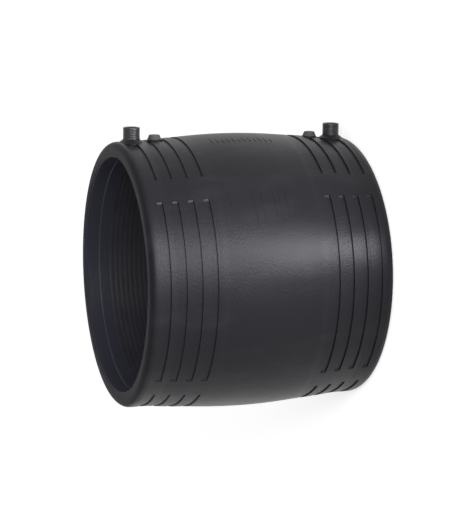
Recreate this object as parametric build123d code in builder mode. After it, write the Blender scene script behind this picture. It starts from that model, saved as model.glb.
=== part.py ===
from build123d import *
import os

# Electrofusion coupler for two polyethylene pipes, standing on its lower end.
# +Z runs along the bore and +X points the way the two terminals stand.
# The origin is on the bore's axis, midway between the ends, where the pipes meet.

os.makedirs("parts", exist_ok=True)

# Pipe and bore
pipe_diameter = 200.0
bore_clearance = 0.75  # all round, between pipe and bore
body_length = 212.6
entry_relief = 0.4  # the mouth is this much wider than the bore, all round
entry_depth = 13.0  # from the end face to the lip
lip_length = 1.0
mouth_chamfer = 1.5

# Outside of the barrel
crown_wall = 18.75  # wall at mid-length
band_length = 81.5  # raised middle band, crowned
band_sag = 1.7  # fall of the crown from mid-length to the band's edge
ramp_length = 5.5
ramp_drop = 0.5  # fall of the ramp at each edge of the band
collar_wall = 13.45  # wall of the plain collar at each end
collar_length = 21.3
taper_bulge = 0.3  # how far the knee of the taper stands out from a straight cone
end_round = 6.3

# Grooves round the ends, in four arcs with a web between each two
groove_count = 4
groove_start = 11.4  # from the end face to the first groove
groove_pitch = 13.05
groove_width = 5.3
groove_depth = 1.2
top_arc = 76.0  # degrees, under the terminals and opposite them
side_arc = 82.0

# Heating winding, set in a pocket at each end of the bore
winding_start = 23.0  # from the end face
winding_turns = 10
winding_pitch = 4.5
winding_depth = 2.6
rib_height = 0.7
winding_gap = 0.1  # round the winding in its pocket
strand_radius = 0.7
strand_depth = 1.6  # from the bore's wall to the strand's centre
strand_gap = 0.1
lead_angle = 0.0  # degrees from +X, under the terminals
bridge_angle = 24.0

# Terminals
terminal_inset = 15.0  # from the end face to the terminal's centre
terminal_height = 12.6  # from the collar's surface to the shroud's rim
shroud_radius = 7.2
shroud_wall = 1.6
shroud_floor = 3.0
shroud_seat_depth = 2.2  # how far the shroud is let into the collar
shroud_gap = 0.1
rim_chamfer = 0.4
boss_height = 2.1
boss_lip = 0.5  # boss wall left round the shroud at the boss's top
boss_flare = 3.6
flare_sink = 0.8  # how far a boss's flare runs on below the barrel's surface
pin_radius = 2.0
pin_recess = 1.6  # pin's tip below the shroud's rim
pin_chamfer = 0.5
foot_radius = 2.6
foot_gap = 0.1
foot_cover = 1.3  # wall kept between the foot and the bore

# Fusion indicators
indicator_inset = 35.3  # from the end face
indicator_height = 4.4  # from the barrel's surface to the well's rim
indicator_radius = 4.5
indicator_flare = 2.2
well_radius = 2.5
well_cover = 5.0  # wall kept between the well and the bore
indicator_pin_gap = 0.15
indicator_pin_recess = 0.7

# Sizes that follow
half_length = body_length / 2
bore_radius = pipe_diameter / 2 + bore_clearance
mouth_radius = bore_radius + entry_relief
crown_radius = bore_radius + crown_wall
band_half = band_length / 2
band_edge_radius = crown_radius - band_sag
ramp_foot = band_half + ramp_length
ramp_foot_radius = band_edge_radius - ramp_drop
collar_start = half_length - collar_length
collar_radius = bore_radius + collar_wall
knee = (ramp_foot + collar_start) / 2
knee_radius = (ramp_foot_radius + collar_radius) / 2 + taper_bulge
pocket_radius = bore_radius + winding_depth
winding_length = winding_turns * winding_pitch
winding_near = half_length - winding_start  # the winding's end nearer the mouth
winding_far = winding_near - winding_length
strand_orbit = bore_radius + strand_depth
terminal_z = half_length - terminal_inset
rim_x = collar_radius + terminal_height
boss_top_x = collar_radius + boss_height
seat_x = collar_radius - shroud_seat_depth
floor_x = seat_x + shroud_floor
foot_x = bore_radius + foot_cover
tip_x = rim_x - pin_recess
indicator_z = half_length - indicator_inset
barrel_x = knee_radius + (indicator_z - knee) / (collar_start - knee) * (collar_radius - knee_radius)
indicator_top_x = barrel_x + indicator_height
well_x = bore_radius + well_cover


def finish(part, name):
    """Label the part and write its STEP file."""
    part.label = name
    export_step(part, f"parts/{name}.step")


def round_boss(base_x, shoulder_x, top_x, top_radius, flare, z):
    """A flared post along +X, over height z."""
    base_radius = top_radius + flare
    foot_x = shoulder_x - flare_sink
    with BuildPart() as boss:
        with BuildSketch(Plane.XZ):
            with BuildLine():
                Polyline(
                    (foot_x, z + base_radius),
                    (base_x, z + base_radius),
                    (base_x, z),
                    (top_x, z),
                    (top_x, z + top_radius),
                    close=True,
                )
            make_face()
        revolve(axis=Axis((0, 0, z), (1, 0, 0)))
    return boss.part


# Section of the moulding before its pockets and grooves
with BuildSketch(Plane.XZ) as body_section:
    with BuildLine():
        ThreePointArc(
            (band_edge_radius, -band_half),
            (crown_radius, 0),
            (band_edge_radius, band_half),
        )
        for side in (1, -1):
            Line((band_edge_radius, side * band_half), (ramp_foot_radius, side * ramp_foot))
            Polyline(
                (ramp_foot_radius, side * ramp_foot),
                (knee_radius, side * knee),
                (collar_radius, side * collar_start),
                (collar_radius, side * half_length),
                (mouth_radius, side * half_length),
                (mouth_radius, side * (half_length - entry_depth)),
                (bore_radius, side * (half_length - entry_depth - lip_length)),
                (bore_radius, 0),
            )
    make_face()
    rims = body_section.vertices().group_by(Axis.Y)
    fillet([rim.sort_by(Axis.X)[-1] for rim in (rims[0], rims[-1])], radius=end_round)
    rims = body_section.vertices().group_by(Axis.Y)
    chamfer([rim.sort_by(Axis.X)[0] for rim in (rims[0], rims[-1])], length=mouth_chamfer)

# The same section drawn in by the grooves' depth gives the grooves' floors
with BuildSketch(Plane.XZ) as floor_section:
    add(body_section.sketch)
    offset(amount=-groove_depth, kind=Kind.INTERSECTION, mode=Mode.REPLACE)

# Ribbon-like cutters for the grooves, which stop short of each boss
boss_top_radius = shroud_radius + shroud_gap + boss_lip
boss_posts = [
    (seat_x, collar_radius, boss_top_x, boss_top_radius, boss_flare, terminal_z),
    (well_x, barrel_x, indicator_top_x, indicator_radius, indicator_flare, indicator_z),
]
cutter_height = crown_radius - collar_radius + 4 * groove_depth
with BuildSketch(Plane.XZ) as groove_section:
    for side in (1, -1):
        for groove in range(groove_count):
            near = half_length - groove_start - groove * groove_pitch
            with Locations((collar_radius + cutter_height / 3, side * (near - groove_width / 2))):
                Rectangle(cutter_height, groove_width)
    add(floor_section.sketch, mode=Mode.SUBTRACT)

with BuildPart() as groove_cutters:
    for quarter in range(4):
        arc = top_arc if quarter % 2 == 0 else side_arc
        groove_rings = groove_section.sketch.rotate(Axis.Z, 90 * quarter - arc / 2)
        revolve(groove_rings, axis=Axis.Z, revolution_arc=arc)
    for base_x, shoulder_x, top_x, top_radius, flare, height in boss_posts:
        with BuildSketch(Plane.YZ.offset(base_x)):
            with Locations((0, height), (0, -height)):
                Circle(top_radius + flare)
        extrude(amount=crown_radius + cutter_height - base_x, mode=Mode.SUBTRACT)

# Body: one moulding, with bosses, grooves, winding pockets and cast-in strands' channels
with BuildPart() as coupler_body:
    add(body_section.sketch)
    revolve(axis=Axis.Z)
    for side in (1, -1):
        for base_x, shoulder_x, top_x, top_radius, flare, height in boss_posts:
            add(round_boss(base_x, shoulder_x, top_x, top_radius, flare, side * height))
    add(groove_cutters.part, mode=Mode.SUBTRACT)

    # Winding pockets, and the closed channels that the strands were cast into
    for side in (1, -1):
        with BuildSketch(Plane.XZ):
            with Locations((pocket_radius, side * (winding_near + winding_far) / 2)):
                Rectangle(2 * winding_depth, winding_length, align=(Align.MAX, Align.CENTER))
        revolve(axis=Axis.Z, mode=Mode.SUBTRACT)
        with BuildSketch(Plane.XY.offset(side * winding_near)):
            with PolarLocations(strand_orbit, 1, start_angle=lead_angle):
                Circle(strand_radius + strand_gap)
        extrude(amount=side * (terminal_z - winding_near), mode=Mode.SUBTRACT)
    with BuildSketch(Plane.XY.offset(-winding_far)):
        with PolarLocations(strand_orbit, 1, start_angle=bridge_angle):
            Circle(strand_radius + strand_gap)
    extrude(amount=2 * winding_far, mode=Mode.SUBTRACT)

    # Seats for the shrouds, holes for the pins' feet, and the indicators' wells
    for side in (1, -1):
        for start_x, radius, height in (
            (seat_x, shroud_radius + shroud_gap, terminal_z),
            (foot_x, foot_radius + foot_gap, terminal_z),
            (well_x, well_radius, indicator_z),
        ):
            with BuildSketch(Plane.YZ.offset(start_x)):
                with Locations((0, side * height)):
                    Circle(radius)
            extrude(amount=rim_x - start_x, mode=Mode.SUBTRACT)

finish(coupler_body.part, "coupler_body")

# Heating winding: one sheathed wire, wound side by side in each pocket and joined by a strand
with BuildPart() as heating_winding:
    for side in (1, -1):
        with BuildSketch(Plane.XZ):
            with BuildLine():
                back = pocket_radius - winding_gap
                near = side * winding_near
                rib_points = [(bore_radius + rib_height, near)]
                for turn in range(winding_turns):
                    crest = near - side * (turn + 0.5) * winding_pitch
                    valley = near - side * (turn + 1) * winding_pitch
                    rib_points += [(bore_radius, crest), (bore_radius + rib_height, valley)]
                Polyline(*rib_points, (back, side * winding_far), (back, near), close=True)
            make_face()
        revolve(axis=Axis.Z)
        with BuildSketch(Plane.XY.offset(side * winding_near)):
            with PolarLocations(strand_orbit, 1, start_angle=lead_angle):
                Circle(strand_radius)
        extrude(amount=side * (terminal_z - foot_radius - winding_near))
    with BuildSketch(Plane.XY.offset(-winding_far)):
        with PolarLocations(strand_orbit, 1, start_angle=bridge_angle):
            Circle(strand_radius)
    extrude(amount=2 * winding_far)

finish(heating_winding.part, "heating_winding")

for place, side in (("upper", 1), ("lower", -1)):
    # Shroud: a ringed cup let into the boss, with a floor that the pin stands in
    with BuildPart() as shroud:
        with BuildSketch(Plane.YZ.offset(seat_x)):
            with Locations((0, side * terminal_z)):
                Circle(shroud_radius)
        extrude(amount=rim_x - seat_x)
        with BuildSketch(Plane.YZ.offset(floor_x)):
            with Locations((0, side * terminal_z)):
                Circle(shroud_radius - shroud_wall)
        extrude(amount=rim_x - floor_x, mode=Mode.SUBTRACT)
        with BuildSketch(Plane.YZ.offset(seat_x)):
            with Locations((0, side * terminal_z)):
                Circle(foot_radius + foot_gap)
        extrude(amount=shroud_floor, mode=Mode.SUBTRACT)
        rim_edges = shroud.faces().sort_by(Axis.X)[-1].edges()
        chamfer(rim_edges.sort_by(SortBy.RADIUS)[-1], length=rim_chamfer)
    finish(shroud.part, f"terminal_shroud_{place}")

    # Pin: a thick foot through the shroud's floor into the wall, and a free shank
    with BuildPart() as pin:
        with BuildSketch(Plane.YZ.offset(foot_x)):
            with Locations((0, side * terminal_z)):
                Circle(foot_radius)
        extrude(amount=floor_x - foot_x)
        with BuildSketch(Plane.YZ.offset(floor_x)):
            with Locations((0, side * terminal_z)):
                Circle(pin_radius)
        extrude(amount=tip_x - floor_x)
        chamfer(pin.faces().sort_by(Axis.X)[-1].edges(), length=pin_chamfer)
    finish(pin.part, f"terminal_pin_{place}")

    # Indicator: a loose polyethylene pin that melted material pushes up out of its well
    with BuildPart() as indicator:
        with BuildSketch(Plane.YZ.offset(well_x)):
            with Locations((0, side * indicator_z)):
                Circle(well_radius - indicator_pin_gap)
        extrude(amount=indicator_top_x - indicator_pin_recess - well_x)
    finish(indicator.part, f"indicator_pin_{place}")
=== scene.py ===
import math

import bmesh
import bpy
import numpy as np
from mathutils import Matrix, Vector
from mathutils.bvhtree import BVHTree


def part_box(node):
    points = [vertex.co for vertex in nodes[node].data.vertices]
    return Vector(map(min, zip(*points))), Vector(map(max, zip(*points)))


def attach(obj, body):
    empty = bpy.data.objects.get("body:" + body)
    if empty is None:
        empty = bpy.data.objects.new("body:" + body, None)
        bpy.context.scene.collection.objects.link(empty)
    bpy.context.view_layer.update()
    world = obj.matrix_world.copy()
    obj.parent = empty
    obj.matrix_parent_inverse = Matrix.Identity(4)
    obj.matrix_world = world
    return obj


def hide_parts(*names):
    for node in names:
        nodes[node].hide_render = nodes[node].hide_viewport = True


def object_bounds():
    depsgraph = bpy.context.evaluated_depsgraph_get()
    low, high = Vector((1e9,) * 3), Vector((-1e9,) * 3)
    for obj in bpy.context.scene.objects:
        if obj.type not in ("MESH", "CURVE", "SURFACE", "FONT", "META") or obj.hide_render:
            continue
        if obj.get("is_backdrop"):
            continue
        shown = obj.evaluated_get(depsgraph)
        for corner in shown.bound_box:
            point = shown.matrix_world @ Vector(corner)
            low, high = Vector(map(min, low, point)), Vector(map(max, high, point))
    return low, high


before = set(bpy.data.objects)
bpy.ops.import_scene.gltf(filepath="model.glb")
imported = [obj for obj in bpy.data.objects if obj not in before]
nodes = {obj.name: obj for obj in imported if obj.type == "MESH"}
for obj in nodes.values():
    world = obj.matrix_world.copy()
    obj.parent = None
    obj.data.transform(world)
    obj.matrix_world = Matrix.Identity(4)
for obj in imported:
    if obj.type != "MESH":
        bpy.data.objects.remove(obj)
cad_low, cad_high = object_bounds()

# ---------------------------------------------------------------------------
# Coupler body: an injection moulding of black polyethylene, cooled on its core.
# Its skin has the fine grain of the tool, a faint ripple where the thick wall
# sank, and the paler rubs and dust of a fitting that has been handled.
# ---------------------------------------------------------------------------


def new_material(name):
    """An empty node material with its output and one Principled shader."""
    material = bpy.data.materials.new(name)
    material.use_nodes = True
    tree = material.node_tree
    tree.nodes.clear()
    output = tree.nodes.new("ShaderNodeOutputMaterial")
    shader = tree.nodes.new("ShaderNodeBsdfPrincipled")
    tree.links.new(shader.outputs["BSDF"], output.inputs["Surface"])
    return material, tree, shader


def noise(tree, scale, detail=3.0, stretch=(1, 1, 1)):
    """Noise over Object coordinates; scale is in cells a metre."""
    place = tree.nodes.new("ShaderNodeTexCoord")
    mapping = tree.nodes.new("ShaderNodeMapping")
    mapping.inputs["Scale"].default_value = stretch
    texture = tree.nodes.new("ShaderNodeTexNoise")
    texture.inputs["Scale"].default_value = scale
    texture.inputs["Detail"].default_value = detail
    tree.links.new(place.outputs["Object"], mapping.inputs["Vector"])
    tree.links.new(mapping.outputs["Vector"], texture.inputs["Vector"])
    return texture.outputs["Fac"]


def between(tree, value, low, high, start=0.35, end=0.65):
    """Maps value from start..end to low..high, clamped."""
    spread = tree.nodes.new("ShaderNodeMapRange")
    spread.inputs["From Min"].default_value = start
    spread.inputs["From Max"].default_value = end
    spread.inputs["To Min"].default_value = low
    spread.inputs["To Max"].default_value = high
    tree.links.new(value, spread.inputs["Value"])
    return spread.outputs["Result"]


def blend(tree, factor, first, second):
    """Mixes two colours by factor; each is (r, g, b) or a colour socket."""
    mix = tree.nodes.new("ShaderNodeMix")
    mix.data_type = "RGBA"
    tree.links.new(factor, mix.inputs["Factor"])
    for end, colour in (("A", first), ("B", second)):
        if isinstance(colour, tuple):
            mix.inputs[end].default_value = (*colour, 1)
        else:
            tree.links.new(colour, mix.inputs[end])
    return mix.outputs["Result"]


def combine(tree, operation, *values):
    """A Math node over sockets and plain numbers."""
    node = tree.nodes.new("ShaderNodeMath")
    node.operation = operation
    for socket, value in zip(node.inputs, values):
        if isinstance(value, (int, float)):
            socket.default_value = value
        else:
            tree.links.new(value, socket)
    return node.outputs[0]


def hypotenuse(tree, first, second):
    """sqrt(first^2 + second^2) of two sockets."""
    squares = combine(tree, "MULTIPLY_ADD", first, first, combine(tree, "MULTIPLY", second, second))
    return combine(tree, "SQRT", squares)


def relief(tree, height, depth, strength, below=None):
    """Bump from height, with depth in metres, on top of an earlier bump."""
    bump = tree.nodes.new("ShaderNodeBump")
    bump.inputs["Strength"].default_value = strength
    bump.inputs["Distance"].default_value = depth
    tree.links.new(height, bump.inputs["Height"])
    if below is not None:
        tree.links.new(below, bump.inputs["Normal"])
    return bump.outputs["Normal"]


def moulded_polyethylene():
    """Black satin plastic with tool grain, sink ripple and rubs. Inside the bore the colour
    is painted paler, painted light that stands in for the light entering through the mouth;
    the ends are duller, the ramps a little brighter, the plug bosses olive."""
    material, tree, shader = new_material("black polyethylene moulding")
    place = tree.nodes.new("ShaderNodeTexCoord")
    parts = tree.nodes.new("ShaderNodeSeparateXYZ")
    tree.links.new(place.outputs["Object"], parts.inputs["Vector"])
    x, y, z = parts.outputs
    height = combine(tree, "ABSOLUTE", z)
    from_axis = hypotenuse(tree, x, y)

    # The bore, and what stands above the skin round each plug
    plug_place, boss_foot = 0.071, 0.1163
    # Painted light: the bore's colour is made paler than the skin, standing in for the light that enters
    # through the mouth.
    painted_bore_light = between(tree, from_axis, 1, 0, 0.1014, 0.1030)
    above_skin = combine(tree, "GREATER_THAN", x, boss_foot)
    along_skin = combine(tree, "SUBTRACT", height, plug_place)
    from_plug = hypotenuse(tree, along_skin, y)
    on_boss = combine(tree, "MULTIPLY", above_skin, between(tree, from_plug, 1, 0, 0.0064, 0.0076))
    rubs = between(tree, noise(tree, 38, 6, (1, 1, 0.35)), 0, 1, 0.52, 0.78)
    colour = blend(tree, rubs, (0.0075, 0.007, 0.009), (0.015, 0.0145, 0.0175))
    colour = blend(tree, painted_bore_light, colour, (0.03, 0.03, 0.042))
    colour = blend(tree, on_boss, colour, (0.055, 0.058, 0.048))
    tree.links.new(colour, shader.inputs["Base Color"])

    # The rounded ends and the ramps beside the middle band
    band_edge, collar_edge = 0.0407, 0.0461
    at_end = between(tree, height, 0, 1, 0.102, 0.1042)
    past_band = between(tree, height, 0, 1, band_edge - 0.0003, band_edge + 0.0003)
    before_collar = between(tree, height, 1, 0, collar_edge - 0.0003, collar_edge + 0.0003)
    on_ramp = combine(tree, "MULTIPLY", past_band, before_collar)
    patches = between(tree, noise(tree, 14, 4), 0.35, 0.43)
    tree.links.new(combine(tree, "MULTIPLY_ADD", at_end, 0.22, patches), shader.inputs["Roughness"])
    sheen = between(tree, at_end, 0.18, 0.1, 0, 1)
    sheen = combine(tree, "MULTIPLY_ADD", on_ramp, 0.02, sheen)
    tree.links.new(sheen, shader.inputs["Specular IOR Level"])
    shader.inputs["IOR"].default_value = 1.5
    shader.inputs["Specular Tint"].default_value = (0.95, 0.94, 1, 1)

    grain = relief(tree, noise(tree, 700, 3), 0.00025, 0.8)
    ripple = relief(tree, noise(tree, 24, 2, (1, 1, 0.5)), 0.0008, 0.25, grain)
    tree.links.new(ripple, shader.inputs["Normal"])
    return material


body = nodes["coupler_body"]
moulding = moulded_polyethylene()
body.data.materials.clear()
body.data.materials.append(moulding)

# ---------------------------------------------------------------------------
# Groove run-outs: the moulding rises in a short slope from each groove's floor
# to its skin, where the tool's ribs were relieved. Part of the same moulding.
# ---------------------------------------------------------------------------


def grid_mesh(name, points, closed_u, closed_v):
    """A mesh from one grid of points, of shape (u, v, 3), or from several of
    shape (n, u, v, 3); a closed way joins its last row to its first."""
    grids = points.reshape(-1, *points.shape[-3:])
    count, rows, columns = grids.shape[:3]
    u = np.arange(rows if closed_u else rows - 1)
    v = np.arange(columns if closed_v else columns - 1)
    first, u, v = np.meshgrid(np.arange(count) * rows * columns, u, v, indexing="ij")
    right, up = (u + 1) % rows, (v + 1) % columns
    corners = [u * columns + v, right * columns + v, right * columns + up, u * columns + up]
    faces = np.stack([first + corner for corner in corners], axis=-1).reshape(-1, 4)
    mesh = bpy.data.meshes.new(name)
    mesh.from_pydata(grids.reshape(-1, 3).tolist(), [], faces.tolist())
    welded = bmesh.new()
    welded.from_mesh(mesh)
    bmesh.ops.remove_doubles(welded, verts=welded.verts, dist=1e-7)
    welded.to_mesh(mesh)
    welded.free()
    mesh.shade_smooth()
    piece = bpy.data.objects.new(name, mesh)
    bpy.context.scene.collection.objects.link(piece)
    return piece


bpy.context.view_layer.update()
skin_faces = BVHTree.FromPolygons(
    [body.matrix_world @ corner.co for corner in body.data.vertices],
    [tuple(face.vertices) for face in body.data.polygons],
)


def skin_radius(degrees, z):
    """Distance from the axis to the body's outer face at a heading and height."""
    heading = math.radians(degrees)
    out = Vector((math.cos(heading), math.sin(heading), 0))
    point = skin_faces.ray_cast(out * 0.2 + Vector((0, 0, z)), -out)[0]
    return math.hypot(point.x, point.y)


def run_out(end, inward, low, high, run=1.25, sink=0.0004, across=7):
    """A wedge in a groove's end, from z low to high. Its slope falls from the
    skin at the heading end to the floor a run of degrees further inward:
    r = skin + (floor - skin) * t, with t from 0 to 1; its base is sunk."""
    z = np.linspace(low, high, across)
    skin = np.array([skin_radius(end - inward * 0.4, place) for place in z])
    floor = np.array([skin_radius(end + inward * (run + 0.4), place) for place in z])
    t = np.linspace(0, 1, 5)
    slope = skin[:, None] + (floor - skin)[:, None] * t
    base = (floor - sink)[:, None]
    radius = np.concatenate([base, slope, base], axis=1)
    heading = np.radians(np.concatenate([[0], t, [1]]) * run * inward + end)
    rise = np.broadcast_to(z[:, None], radius.shape)
    points = np.stack([radius * np.cos(heading), radius * np.sin(heading), rise], axis=-1)
    caps = np.broadcast_to(points.mean(axis=1, keepdims=True), points.shape)
    closed = np.concatenate([caps[:1], points, caps[-1:]])
    return closed[:, ::-1] if inward > 0 else closed


first_groove, groove_pitch, groove_width = 0.0114, 0.01305, 0.0053
wedges = []
for side in (1, -1):
    for groove in range(4):
        middle = side * (cad_high.z - first_groove - groove_width / 2 - groove * groove_pitch)
        low, high = middle - groove_width / 2 + 0.00003, middle + groove_width / 2 - 0.00003
        for quarter, half_arc in enumerate((38, 41, 38, 41)):
            for inward in (1, -1):
                wedges.append(run_out(90 * quarter - inward * half_arc, inward, low, high))
run_outs = grid_mesh("groove_run_outs", np.array(wedges), False, True)

# ---------------------------------------------------------------------------
# Raised marks: low rounded ridges on the crown, from engraving in the tool. A
# short row stands on the terminal side and longer strokes beside it; they are
# plain ridges that spell nothing. Part of the same moulding.
# ---------------------------------------------------------------------------


def raised_ridge(start, stop, z, width, height, along=28, around=14):
    """A ridge on the skin at height z, over headings start to stop in degrees.
    Its section is an ellipse, r = skin + height * cos(a) and z + width / 2 * sin(a),
    half of it under the skin; sqrt(1 - s^4) draws the ends in to points."""
    s = np.sin(np.linspace(-math.pi / 2, math.pi / 2, along))
    size = np.sqrt(np.clip(1 - s**4, 0, 1))[:, None]
    heading = np.radians((start + stop) / 2 + s * (stop - start) / 2)
    skin = np.array([skin_radius(math.degrees(turn), z) for turn in heading])[:, None]
    a = np.linspace(0, 2 * math.pi, around, endpoint=False)
    radius = skin + size * height * np.cos(a)
    offset = size * width / 2 * np.sin(a)
    heading = heading[:, None]
    return np.stack([radius * np.cos(heading), radius * np.sin(heading), z + offset], axis=-1)


ridges = []
for number in range(12):
    z = 0.0275 - number * 0.0048
    ridges.append(raised_ridge(-14.5, -8.5 - (number % 3), z, 0.0016, 0.00045))
for z, stop in ((0.0325, -55), (0.013, -64), (0.0056, -64), (-0.0046, -60), (-0.0093, -64), (-0.0158, -62)):
    ridges.append(raised_ridge(stop, -46, z, 0.0014, 0.00022))
marks = grid_mesh("raised_marks", np.array(ridges), False, True)
for piece in (run_outs, marks):
    piece.data.materials.append(moulding)
    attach(piece, "root")

# ---------------------------------------------------------------------------
# Heating winding: resistance wire in a polyethylene sheath, wound side by side
# into a pocket at each end of the bore and fused there. The rounded backs of
# the turns stand in the bore as close ribs, and a strand joins both windings.
# ---------------------------------------------------------------------------


def ribbed_ring(name, outer_radius, inner_radius, rib, low, high, turns, around=192, across=8):
    """A ring round Z from low to high. Its inner face follows
    r = inner_radius + rib * (1 - sqrt(1 - t^2)) / (1 - sqrt(1 - 0.94^2)), with t
    from -0.94 to 0.94 over each turn; a straight back and two flat ends close it."""
    t = np.linspace(-0.94, 0.94, across)
    rise = rib * (1 - np.sqrt(1 - t**2)) / (1 - math.sqrt(1 - 0.94**2))
    pitch = (high - low) / turns
    middles = low + pitch * (np.arange(turns) + 0.5)
    inner_z = (middles[:, None] + t[None, :] * pitch / 2).ravel()
    inner_r = np.tile(inner_radius + rise, turns)
    valley = inner_radius + rib
    section_r = np.concatenate([[outer_radius, valley], inner_r, [valley, outer_radius]])
    section_z = np.concatenate([[low, low], inner_z, [high, high]])
    angle = np.linspace(0, 2 * math.pi, around, endpoint=False)[:, None]
    points = np.stack(
        [
            section_r * np.cos(angle),
            section_r * np.sin(angle),
            np.broadcast_to(section_z, (around, section_z.size)),
        ],
        axis=-1,
    )
    return grid_mesh(name, points[:, ::-1], True, True)


def strand(name, radius, orbit, degrees, low, high, around=16, along=24):
    """A round wire parallel to Z: a circle of the given radius carried from low
    to high, with its ends drawn in to points so that they are closed."""
    heading = math.radians(degrees)
    share = np.linspace(0, 1, along)
    rows = np.concatenate([[0, 0], share, [1, 1]])
    sizes = np.concatenate([[0, 0.7], np.ones(along), [0.7, 0]]) * radius
    angle = np.linspace(0, 2 * math.pi, around, endpoint=False)
    out = orbit + sizes[:, None] * np.cos(angle)
    over = sizes[:, None] * np.sin(angle)
    points = np.stack(
        [
            out * math.cos(heading) - over * math.sin(heading),
            out * math.sin(heading) + over * math.cos(heading),
            np.broadcast_to((low + (high - low) * rows)[:, None], out.shape),
        ],
        axis=-1,
    )
    return grid_mesh(name, points[::-1], False, True)


def wound_sheath():
    """The wire's sheath: black, a little glossier than the moulding round it."""
    material, tree, shader = new_material("sheathed wire")
    shader.inputs["Base Color"].default_value = (0.026, 0.026, 0.032, 1)
    shader.inputs["Specular IOR Level"].default_value = 0.25
    worn = noise(tree, 60, 4)
    tree.links.new(between(tree, worn, 0.4, 0.55), shader.inputs["Roughness"])
    tree.links.new(relief(tree, noise(tree, 400, 3), 0.0001, 0.4), shader.inputs["Normal"])
    return material


sheath = wound_sheath()
winding_low, winding_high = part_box("heating_winding")
bore_radius = 0.10075
back_radius = winding_high.y
winding_far, winding_near = 0.0383, 0.0833
turns, rib = 10, 0.00018
wire_radius = 0.0007
wire_orbit = bore_radius + 0.0016
winding_pieces = []
for place, side in (("upper", 1), ("lower", -1)):
    low, high = sorted((side * winding_far, side * winding_near))
    winding = ribbed_ring(f"wound_turns_{place}", back_radius, bore_radius, rib, low, high, turns)
    winding_pieces.append(winding)
    reach = winding_high.z if side > 0 else winding_low.z
    low, high = sorted((side * winding_near, reach))
    winding_pieces.append(strand(f"terminal_lead_{place}", wire_radius, wire_orbit, 0, low, high))
winding_pieces.append(strand("bridge_strand", wire_radius, wire_orbit, 24, -winding_far, winding_far))
for piece in winding_pieces:
    piece.data.materials.append(sheath)
    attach(piece, "root")
    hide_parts("heating_winding")

# ---------------------------------------------------------------------------
# Terminal shrouds: glossy dark grey cups, moulded apart and let into the
# bosses. Fine rings run round them, and pale rubs lie over them at random.
# ---------------------------------------------------------------------------


def turned_cup(name, centre, section, around=72):
    """A closed section of (x, radius) pairs turned about the line along X
    through centre, which gives a cup, ring or post in one surface."""
    x, radius = np.array(section).T
    angle = np.linspace(0, 2 * math.pi, around, endpoint=False)[:, None]
    points = np.stack(
        [
            np.broadcast_to(x, (around, x.size)),
            centre[1] + radius * np.cos(angle),
            centre[2] + radius * np.sin(angle),
        ],
        axis=-1,
    )
    return grid_mesh(name, points, True, True)


def glossy_terminal_plastic():
    """Dark grey engineering plastic with a polish, fine scratches and pale rubs."""
    material, tree, shader = new_material("terminal plastic")
    rub = noise(tree, 300, 5)
    colour = blend(tree, between(tree, rub, 0, 1, 0.55, 0.8), (0.016, 0.0162, 0.019), (0.04, 0.0405, 0.045))
    tree.links.new(colour, shader.inputs["Base Color"])
    tree.links.new(between(tree, noise(tree, 150, 3), 0.26, 0.34), shader.inputs["Roughness"])
    shader.inputs["Specular IOR Level"].default_value = 0.3
    tree.links.new(relief(tree, noise(tree, 900, 2), 0.00001, 0.2), shader.inputs["Normal"])
    return material


cup_plastic = glossy_terminal_plastic()
for place in ("upper", "lower"):
    low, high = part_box(f"terminal_shroud_{place}")
    centre = (low + high) / 2
    seat, rim, radius = low.x, high.x, (high.z - low.z) / 2
    wall, floor, hole = 0.0016, 0.003, 0.0027
    rings, ring_pitch, ring_depth = 5, 0.0015, 0.00022
    first_ring = rim - 0.0016
    section = [(seat, hole), (seat, radius), (first_ring - rings * ring_pitch, radius)]
    for step in np.linspace(rings * ring_pitch, 0, rings * 6 + 1)[1:]:
        dip = ring_depth * math.sin(math.pi * step / ring_pitch) ** 8
        section.append((first_ring - step, radius - dip))
    section += [
        (rim - 0.00045, radius),
        (rim - 0.00018, radius - 0.00008),
        (rim, radius - 0.0004),
        (rim, radius - wall + 0.00025),
        (rim - 0.00025, radius - wall),
        (seat + floor, radius - wall),
        (seat + floor, hole),
    ]
    cup = turned_cup(f"shroud_cup_{place}", centre, section)
    cup.data.materials.append(cup_plastic)
    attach(cup, "root")
    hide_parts(f"terminal_shroud_{place}")

# ---------------------------------------------------------------------------
# Terminal pins: turned brass, tin plated, with a thick foot that the wire is
# clenched to under the floor of the cup.
# ---------------------------------------------------------------------------


def tinned_brass():
    """Pale plated metal, dulled a little where leads have slid on it."""
    material, tree, shader = new_material("tinned brass")
    shader.inputs["Metallic"].default_value = 1
    dull = noise(tree, 500, 4, (0.3, 1, 1))
    colour = blend(tree, between(tree, dull, 0, 1), (0.72, 0.7, 0.65), (0.58, 0.55, 0.48))
    tree.links.new(colour, shader.inputs["Base Color"])
    tree.links.new(between(tree, dull, 0.22, 0.38), shader.inputs["Roughness"])
    return material


tin = tinned_brass()
for place in ("upper", "lower"):
    pin = nodes[f"terminal_pin_{place}"]
    pin.data.materials.clear()
    pin.data.materials.append(tin)

# ---------------------------------------------------------------------------
# Indicator pins: loose plugs of polyethylene in their wells, which the melt
# pushes up once the joint is made. Their tops are a shade greener than the body.
# ---------------------------------------------------------------------------


def indicator_polyethylene():
    """Dull olive-black plastic with a cut, slightly uneven top."""
    material, tree, shader = new_material("indicator polyethylene")
    mottle = between(tree, noise(tree, 400, 4), 0, 1)
    colour = blend(tree, mottle, (0.055, 0.058, 0.048), (0.085, 0.089, 0.074))
    tree.links.new(colour, shader.inputs["Base Color"])
    shader.inputs["Roughness"].default_value = 0.5
    tree.links.new(relief(tree, noise(tree, 700, 3), 0.00008, 0.4), shader.inputs["Normal"])
    return material


plug_plastic = indicator_polyethylene()
for place in ("upper", "lower"):
    plug = nodes[f"indicator_pin_{place}"]
    plug.data.materials.clear()
    plug.data.materials.append(plug_plastic)

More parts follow.
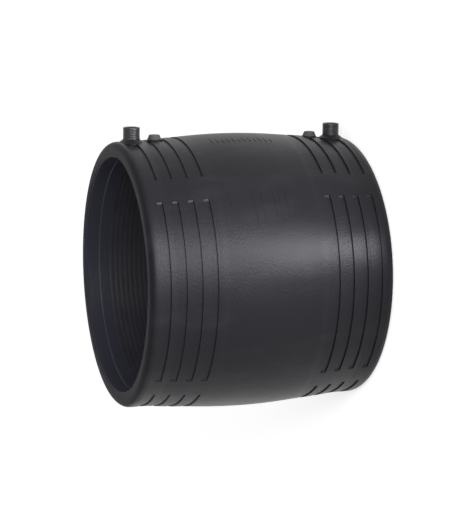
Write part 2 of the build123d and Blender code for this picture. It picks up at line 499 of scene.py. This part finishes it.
# ---------------------------------------------------------------------------
# Studio: a pale floor under the coupler, which stands on its lower end. Strip
# lamps on the floor draw the long highlight on the barrel, and a tall soft lamp
# beyond them lights it. The camera is turned a quarter, so the axis runs across.
# ---------------------------------------------------------------------------


def pale_floor(size, height):
    """A square floor that the camera sees as white, but for the coupler's shadow."""
    corners = [(-size, -size, height), (size, -size, height), (size, size, height), (-size, size, height)]
    mesh = bpy.data.meshes.new("floor")
    mesh.from_pydata(corners, [], [(0, 1, 2, 3)])
    floor = bpy.data.objects.new("floor", mesh)
    bpy.context.scene.collection.objects.link(floor)
    material = bpy.data.materials.new("pale floor")
    material.use_nodes = True
    tree = material.node_tree
    tree.nodes.clear()
    output = tree.nodes.new("ShaderNodeOutputMaterial")
    cloth = tree.nodes.new("ShaderNodeBsdfDiffuse")
    cloth.inputs["Color"].default_value = (0.8, 0.8, 0.8, 1)
    glow = tree.nodes.new("ShaderNodeEmission")
    path = tree.nodes.new("ShaderNodeLightPath")
    total = tree.nodes.new("ShaderNodeAddShader")
    seen = combine(tree, "MAXIMUM", path.outputs["Is Camera Ray"], path.outputs["Is Glossy Ray"])
    seen = combine(tree, "MAXIMUM", seen, path.outputs["Is Transmission Ray"])
    tree.links.new(combine(tree, "MULTIPLY", seen, 0.6), glow.inputs["Strength"])
    tree.links.new(cloth.outputs["BSDF"], total.inputs[0])
    tree.links.new(glow.outputs["Emission"], total.inputs[1])
    tree.links.new(total.outputs["Shader"], output.inputs["Surface"])
    floor.data.materials.append(material)
    floor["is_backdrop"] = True
    return floor


def softbox(name, place, aim, width, height, glow):
    """A rectangular lamp at place, turned to face aim; glow is in watts a square metre."""
    lamp = bpy.data.lights.new(name, "AREA")
    lamp.shape = "RECTANGLE"
    lamp.size = width
    lamp.size_y = height
    lamp.energy = glow * width * height
    holder = bpy.data.objects.new(name, lamp)
    bpy.context.scene.collection.objects.link(holder)
    holder.location = place
    holder.rotation_euler = (Vector(aim) - Vector(place)).to_track_quat("-Z", "Y").to_euler()
    return holder


pale_floor(4.0, cad_low.z)
heading = math.radians(23.5)
along = Vector((math.sin(heading), -math.cos(heading), 0))
foot = Vector((math.sin(heading - 0.12), -math.cos(heading - 0.12), 0)) * cad_high.y
foot.z = cad_low.z + 0.004
for name, near, far, width in (
    ("strip lamp near", 0.02, 0.1, 0.03),
    ("strip lamp", 0.1, 0.33, 0.09),
    ("strip lamp far", 0.33, 1.0, 0.24),
):
    middle = foot + along * (near + far) / 2
    strip = softbox(name, middle, (0, 0, 0), width, far - near, 46)
    strip.rotation_euler = (math.pi, 0, heading)
key_place = foot + along * 1.1 + Vector((0, 0, 0.43))
softbox("key lamp", key_place, foot + Vector((0, 0, 0.2)), 0.36, 0.85, 40)

world = bpy.data.worlds.new("white surround")
world.use_nodes = True
bpy.context.scene.world = world
sky = world.node_tree
sky.nodes.clear()
sky_output = sky.nodes.new("ShaderNodeOutputWorld")
sky_light = sky.nodes.new("ShaderNodeBackground")
sky_light.inputs["Color"].default_value = (1, 1, 1, 1)
sky_path = sky.nodes.new("ShaderNodeLightPath")
seen = combine(sky, "MAXIMUM", sky_path.outputs["Is Camera Ray"], sky_path.outputs["Is Glossy Ray"])
seen = combine(sky, "MAXIMUM", seen, sky_path.outputs["Is Transmission Ray"])
sky_level = sky.nodes.new("ShaderNodeMapRange")
sky_level.inputs["To Min"].default_value = 0.5
sky.links.new(seen, sky_level.inputs["Value"])
sky.links.new(sky_level.outputs["Result"], sky_light.inputs["Strength"])
sky.links.new(sky_light.outputs["Background"], sky_output.inputs["Surface"])

elevation, swing, roll = math.radians(18.87), math.radians(10.94), math.radians(2.80)
distance = 1.534
towards = Vector(
    (math.sin(swing) * math.cos(elevation), -math.cos(swing) * math.cos(elevation), math.sin(elevation))
)
forward = -towards
right = (-Vector((0, 0, 1)) - (-Vector((0, 0, 1))).dot(forward) * forward).normalized()
down = forward.cross(right)
right, down = (
    math.cos(roll) * right + math.sin(roll) * down,
    math.cos(roll) * down - math.sin(roll) * right,
)
camera_data = bpy.data.cameras.new("camera")
camera_data.sensor_fit = "HORIZONTAL"
camera_data.sensor_width = 36
camera_data.lens = 137.45
camera = bpy.data.objects.new("camera", camera_data)
bpy.context.scene.collection.objects.link(camera)
place = towards * distance
aim = -right * 0.0022 - down * 0.00796
forward = (aim - place).normalized()
right = (right - right.dot(forward) * forward).normalized()
down = forward.cross(right)
camera.matrix_world = Matrix(
    (
        (right.x, -down.x, -forward.x, place.x),
        (right.y, -down.y, -forward.y, place.y),
        (right.z, -down.z, -forward.z, place.z),
        (0, 0, 0, 1),
    )
)
bpy.context.scene.camera = camera
bpy.context.scene.view_settings.view_transform = "Standard"

low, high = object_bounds()
